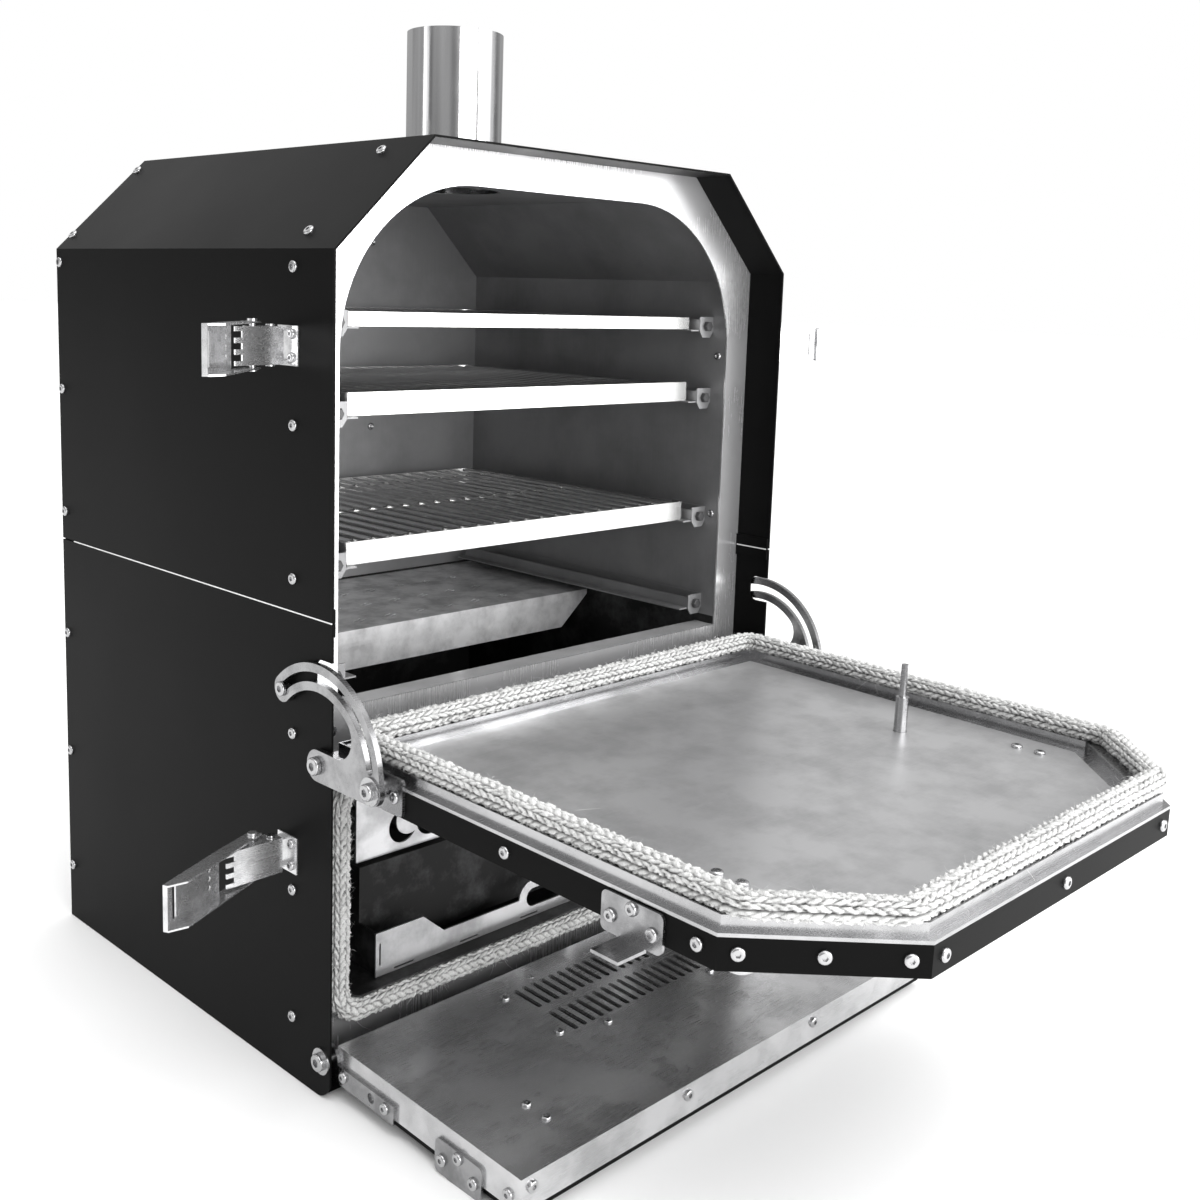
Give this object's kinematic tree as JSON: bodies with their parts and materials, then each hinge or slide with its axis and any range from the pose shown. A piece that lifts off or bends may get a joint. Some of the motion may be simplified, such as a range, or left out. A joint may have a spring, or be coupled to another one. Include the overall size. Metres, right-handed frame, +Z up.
{
  "type": "charcoal-fired cabinet oven",
  "caption": "Octagonal insulated cabinet kiln or oven with drop-down upper and fire doors, rope seals, draw latches, wire racks, sliding fire basket and top flue spigot.",
  "frame": {"origin": "middle of the cabinet's base, on the surface it stands on", "axes": "+Z up, -Y to the front where both doors hang, +X to the right seen from the back of the doors' swing (the viewer's right when facing the front)"},
  "size_m": [0.8863, 1.0238, 0.9821],
  "materials": {
    "black_coat": "satin black powder coat on folded steel",
    "stainless_sheet": "cold-rolled stainless sheet with a fine brushed grain",
    "liner_steel": "heat-dulled stainless lining sheet",
    "sooty_steel": "steel plate darkened by fire",
    "stainless_fastener": "machined stainless fasteners",
    "rack_wire": "electropolished stainless wire and flat bar",
    "fibre_rope": "knitted white glass-fibre rope",
    "fibre_blanket": "ceramic-fibre blanket, hidden",
    "dial_white": "white enamelled dial",
    "dial_red": "red painted pointer",
    "dial_glass": "clear flat glass"
  },
  "bodies": {
    "cabinet": {"upper_jacket": "black_coat", "lower_jacket": "black_coat", "seam_strip": "stainless_sheet", "back_panel": "black_coat", "front_plate": "stainless_sheet", "upper_liner": "liner_steel", "firebox_liner": "sooty_steel", "sill_channel": "stainless_sheet", "insulation_blanket": "fibre_blanket", "flue_stub": "stainless_sheet", "flue_collar": "stainless_sheet", "shelf_rails_left": "liner_steel", "shelf_rails_right": "liner_steel", "jacket_screws": "stainless_fastener", "firebox_gasket": "fibre_rope", "latch_bases": "stainless_sheet", "latch_hardware": "stainless_fastener", "hinge_pins": "stainless_fastener", "fire_guard": "stainless_sheet", "heat_baffle": "liner_steel"},
    "upper_door": {"upper_door_pan": "black_coat", "upper_door_frame": "stainless_sheet", "upper_door_panel": "stainless_sheet", "upper_door_insulation": "fibre_blanket", "upper_door_gasket": "fibre_rope", "upper_door_handle": "stainless_sheet", "upper_handle_feet": "stainless_sheet", "upper_door_strikes": "stainless_sheet", "upper_door_screws": "stainless_fastener", "hinge_arms": "stainless_sheet", "hinge_brackets": "stainless_sheet", "arm_bolts": "stainless_fastener", "thermometer_case": "stainless_sheet", "thermometer_face": "dial_white", "thermometer_glass": "dial_glass", "thermometer_stem": "stainless_fastener"},
    "dial_pointer": {"thermometer_pointer": "dial_red"},
    "lower_door": {"lower_door_liner": "stainless_sheet", "lower_door_pan": "black_coat", "damper_guides": "stainless_sheet", "lower_door_handle": "stainless_sheet", "lower_handle_tray": "black_coat", "lower_door_strikes": "stainless_sheet", "lower_door_screws": "stainless_fastener", "lower_hinge_plates": "stainless_sheet"},
    "air_damper": {"lower_damper": "stainless_sheet"},
    "top_rack": {"rack_top": "rack_wire"},
    "middle_rack": {"rack_middle": "rack_wire"},
    "bottom_rack": {"rack_bottom": "rack_wire"},
    "fire_basket": {"basket_front": "stainless_sheet", "basket_box": "sooty_steel", "fire_grate": "sooty_steel"},
    "lever_upper_left": {"latch_lever_upper_left": "stainless_sheet"},
    "link_upper_left": {"latch_link_upper_left": "stainless_sheet"},
    "lever_upper_right": {"latch_lever_upper_right": "stainless_sheet"},
    "link_upper_right": {"latch_link_upper_right": "stainless_sheet"},
    "lever_lower_left": {"latch_lever_lower_left": "stainless_sheet"},
    "link_lower_left": {"latch_link_lower_left": "stainless_sheet"},
    "lever_lower_right": {"latch_lever_lower_right": "stainless_sheet"},
    "link_lower_right": {"latch_link_lower_right": "stainless_sheet"}
  },
  "joints": [
    {"name": "upper_door_hinge", "type": "hinge", "parent": "cabinet", "child": "upper_door", "pos_m": [0, -0.2405, 0.309], "axis": [-1, 0, 0], "range_deg": [0, 91]},
    {"name": "lower_door_hinge", "type": "hinge", "parent": "cabinet", "child": "lower_door", "pos_m": [0, -0.2405, 0.035], "axis": [-1, 0, 0], "range_deg": [0, 92]},
    {"name": "dial_pointer_spin", "type": "hinge", "parent": "upper_door", "child": "dial_pointer", "pos_m": [0.172, -0.51408, 0.28262], "axis": [0, 0.0175, -0.9998], "range_deg": [0, 270]},
    {"name": "air_damper_slide", "type": "slide", "parent": "lower_door", "child": "air_damper", "axis": [1, 0, 0], "range_m": [0, 0.0058]},
    {"name": "top_rack_slide", "type": "slide", "parent": "cabinet", "child": "top_rack", "axis": [0, 1, 0], "range_m": [-0.3, 0]},
    {"name": "middle_rack_slide", "type": "slide", "parent": "cabinet", "child": "middle_rack", "axis": [0, 1, 0], "range_m": [-0.3, 0]},
    {"name": "bottom_rack_slide", "type": "slide", "parent": "cabinet", "child": "bottom_rack", "axis": [0, 1, 0], "range_m": [-0.3, 0]},
    {"name": "fire_basket_slide", "type": "slide", "parent": "cabinet", "child": "fire_basket", "axis": [0, 1, 0], "range_m": [-0.25, 0]},
    {"name": "lever_pivot_upper_left", "type": "hinge", "parent": "cabinet", "child": "lever_upper_left", "pos_m": [-0.314, -0.1805, 0.664], "axis": [0, 0, -1], "range_deg": [0, 104]},
    {"name": "link_pivot_upper_left", "type": "hinge", "parent": "lever_upper_left", "child": "link_upper_left", "pos_m": [-0.33001, -0.17831, 0.664], "axis": [0, 0, 1], "range_deg": [0, 150]},
    {"name": "lever_pivot_upper_right", "type": "hinge", "parent": "cabinet", "child": "lever_upper_right", "pos_m": [0.314, -0.1805, 0.664], "axis": [0, 0, 1], "range_deg": [0, 90]},
    {"name": "link_pivot_upper_right", "type": "hinge", "parent": "lever_upper_right", "child": "link_upper_right", "pos_m": [0.329, -0.1745, 0.664], "axis": [0, 0, -1], "range_deg": [0, 166]},
    {"name": "lever_pivot_lower_left", "type": "hinge", "parent": "cabinet", "child": "lever_lower_left", "pos_m": [-0.314, -0.1805, 0.213], "axis": [0, 0, -1], "range_deg": [0, 90]},
    {"name": "link_pivot_lower_left", "type": "hinge", "parent": "lever_lower_left", "child": "link_lower_left", "pos_m": [-0.329, -0.1745, 0.213], "axis": [0, 0, 1], "range_deg": [0, 154]},
    {"name": "lever_pivot_lower_right", "type": "hinge", "parent": "cabinet", "child": "lever_lower_right", "pos_m": [0.314, -0.1805, 0.213], "axis": [0, 0, 1], "range_deg": [0, 90]},
    {"name": "link_pivot_lower_right", "type": "hinge", "parent": "lever_lower_right", "child": "link_lower_right", "pos_m": [0.329, -0.1745, 0.213], "axis": [0, 0, -1], "range_deg": [0, 154]}
  ],
  "couplings": [
    {"joint": "link_pivot_upper_left", "follows": "lever_pivot_upper_left", "ratio": 1.4423},
    {"joint": "link_pivot_upper_right", "follows": "lever_pivot_upper_right", "ratio": 1.8444},
    {"joint": "link_pivot_lower_left", "follows": "lever_pivot_lower_left", "ratio": 1.7111},
    {"joint": "link_pivot_lower_right", "follows": "lever_pivot_lower_right", "ratio": 1.7111}
  ]
}
